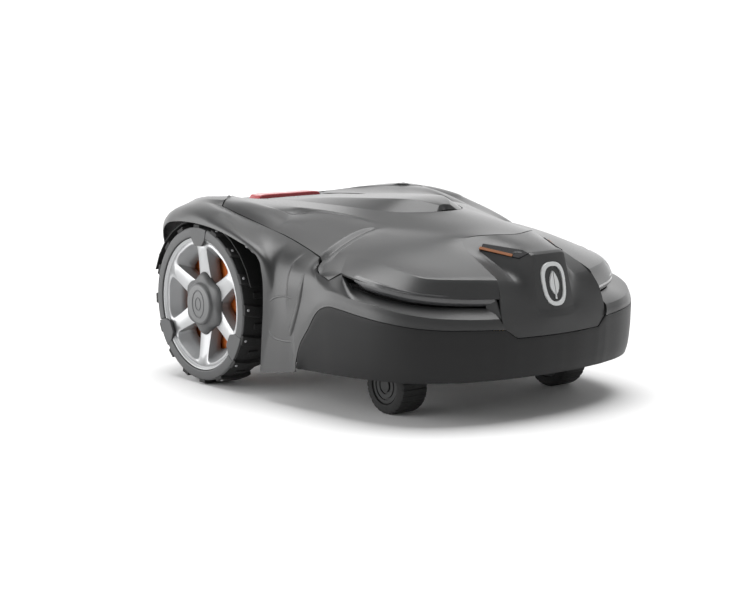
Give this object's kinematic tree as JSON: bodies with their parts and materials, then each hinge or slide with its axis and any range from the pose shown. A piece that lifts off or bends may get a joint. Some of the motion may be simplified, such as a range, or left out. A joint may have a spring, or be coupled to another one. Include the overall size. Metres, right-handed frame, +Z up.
{
  "type": "robotic lawn mower",
  "caption": "Battery robotic lawn mower with floating body, driven rear wheels, swivelling front casters and height-adjustable pivoting-blade disc.",
  "frame": {"origin": "on the ground, at the bottom middle of the whole machine's box", "axes": "+Z up, -Y towards the front (driving direction), +X to the mower's own left; X is the axle direction"},
  "size_m": [0.43, 0.583, 0.2436],
  "materials": {
    "body_grey": "satin",
    "bumper_grey": "satin",
    "badge_silver": "satin",
    "stop_red": "semi-gloss",
    "display": "glossy",
    "black_plastic": "matte",
    "button_grey": "matte",
    "seal_rubber": "matte",
    "pack_green": "matte",
    "board_green": "semi-matte",
    "motor_metal": "cast",
    "steel": "brushed",
    "blade_steel": "ground",
    "lamp_grey": "glossy",
    "tyre_rubber": "matte",
    "rim_silver": "satin",
    "orange_disc": "matte",
    "cap_grey": "satin",
    "caster_rubber": "matte",
    "caster_hub": "satin",
    "copper": "bare",
    "arch_black": "matte"
  },
  "bodies": {
    "chassis": {"chassis_tub": "black_plastic", "chassis_lid": "black_plastic", "hull_seal": "seal_rubber", "battery_pack": "pack_green", "battery_cover": "black_plastic", "main_board": "board_green", "lift_actuator": "motor_metal", "display_unit": "display", "wheel_motor_left": "motor_metal", "wheel_motor_right": "motor_metal", "caster_bearing_left": "steel", "caster_bearing_right": "steel", "charging_contact_left": "copper", "charging_contact_right": "copper"},
    "height_carriage": {"height_carriage": "black_plastic", "cutting_motor": "motor_metal", "lift_arm": "steel"},
    "blade_disc": {"blade_disc": "steel", "disc_bolt": "steel", "blade_screw_1": "steel", "blade_screw_2": "steel", "blade_screw_3": "steel"},
    "skid_plate": {"skid_plate": "black_plastic"},
    "suspension": {"cover_post_front_left": "seal_rubber", "cover_post_front_right": "seal_rubber", "cover_post_rear_left": "seal_rubber", "cover_post_rear_right": "seal_rubber"},
    "cover": {"body_shell": "body_grey", "top_cover": "body_grey", "bumper": "bumper_grey", "nose_badge": "badge_silver", "headlight_left": "lamp_grey", "headlight_right": "lamp_grey", "nose_lamp_left": "lamp_grey", "nose_lamp_right": "lamp_grey", "wheel_arch_left": "arch_black", "wheel_arch_right": "arch_black"},
    "hatch": {"hatch": "body_grey"},
    "stop_button": {"stop_button": "stop_red"},
    "jog_dial": {"jog_dial": "black_plastic"},
    "start_button": {"start_button": "button_grey"},
    "blade_1": {"blade_1": "blade_steel"},
    "blade_2": {"blade_2": "blade_steel"},
    "blade_3": {"blade_3": "blade_steel"},
    "wheel_left": {"tyre_left": "tyre_rubber", "rim_left": "rim_silver", "hub_disc_left": "orange_disc", "hub_cap_left": "cap_grey", "axle_left": "steel"},
    "caster_left": {"caster_fork_left": "black_plastic"},
    "caster_wheel_left": {"caster_tyre_left": "caster_rubber", "caster_hub_left": "caster_hub"},
    "wheel_right": {"tyre_right": "tyre_rubber", "rim_right": "rim_silver", "hub_disc_right": "orange_disc", "hub_cap_right": "cap_grey", "axle_right": "steel"},
    "caster_right": {"caster_fork_right": "black_plastic"},
    "caster_wheel_right": {"caster_tyre_right": "caster_rubber", "caster_hub_right": "caster_hub"}
  },
  "joints": [
    {"name": "wheel_spin_left", "type": "hinge", "parent": "chassis", "child": "wheel_left", "pos_m": [0.1904, 0.1315, 0.101], "axis": [1, 0, 0], "continuous": true},
    {"name": "caster_swivel_left", "type": "hinge", "parent": "chassis", "child": "caster_left", "pos_m": [0.128, -0.178, 0.034], "axis": [0, 0, 1], "continuous": true},
    {"name": "caster_spin_left", "type": "hinge", "parent": "caster_left", "child": "caster_wheel_left", "pos_m": [0.128, -0.153, 0.034], "axis": [1, 0, 0], "continuous": true},
    {"name": "wheel_spin_right", "type": "hinge", "parent": "chassis", "child": "wheel_right", "pos_m": [-0.1904, 0.1315, 0.101], "axis": [1, 0, 0], "continuous": true},
    {"name": "caster_swivel_right", "type": "hinge", "parent": "chassis", "child": "caster_right", "pos_m": [-0.128, -0.178, 0.034], "axis": [0, 0, 1], "continuous": true},
    {"name": "caster_spin_right", "type": "hinge", "parent": "caster_right", "child": "caster_wheel_right", "pos_m": [-0.128, -0.153, 0.034], "axis": [1, 0, 0], "continuous": true},
    {"name": "cutting_height", "type": "slide", "parent": "chassis", "child": "height_carriage", "axis": [0, 0, 1], "range_m": [-0.03, 0]},
    {"name": "disc_spin", "type": "hinge", "parent": "height_carriage", "child": "blade_disc", "pos_m": [0, -0.015, 0.055], "axis": [0, 0, 1], "continuous": true},
    {"name": "skid_spin", "type": "hinge", "parent": "blade_disc", "child": "skid_plate", "pos_m": [0, -0.015, 0.05], "axis": [0, 0, 1], "continuous": true},
    {"name": "blade_pivot_1", "type": "hinge", "parent": "blade_disc", "child": "blade_1", "pos_m": [0, 0.063, 0.0525], "axis": [0, 0, 1], "continuous": true},
    {"name": "blade_pivot_2", "type": "hinge", "parent": "blade_disc", "child": "blade_2", "pos_m": [-0.06755, -0.054, 0.0525], "axis": [0, 0, 1], "continuous": true},
    {"name": "blade_pivot_3", "type": "hinge", "parent": "blade_disc", "child": "blade_3", "pos_m": [0.06755, -0.054, 0.0525], "axis": [0, 0, 1], "continuous": true},
    {"name": "cover_bump", "type": "slide", "parent": "chassis", "child": "suspension", "axis": [0, 1, 0], "range_m": [-0.005, 0.005], "stiffness_N_per_m": 1800},
    {"name": "cover_lift", "type": "slide", "parent": "suspension", "child": "cover", "axis": [0, 0, 1], "range_m": [0, 0.008]},
    {"name": "hatch_hinge", "type": "hinge", "parent": "cover", "child": "hatch", "pos_m": [0, -0.0945, 0.2205], "axis": [1, 0, 0], "range_deg": [0, 70]},
    {"name": "stop_press", "type": "slide", "parent": "cover", "child": "stop_button", "axis": [0, 0, -1], "range_m": [0, 0.003], "stiffness_N_per_m": 900},
    {"name": "dial_turn", "type": "hinge", "parent": "chassis", "child": "jog_dial", "pos_m": [0, 0.005, 0.2], "axis": [0, 0, 1], "continuous": true},
    {"name": "start_press", "type": "slide", "parent": "chassis", "child": "start_button", "axis": [0, 0, -1], "range_m": [0, 0.0015], "stiffness_N_per_m": 400}
  ]
}
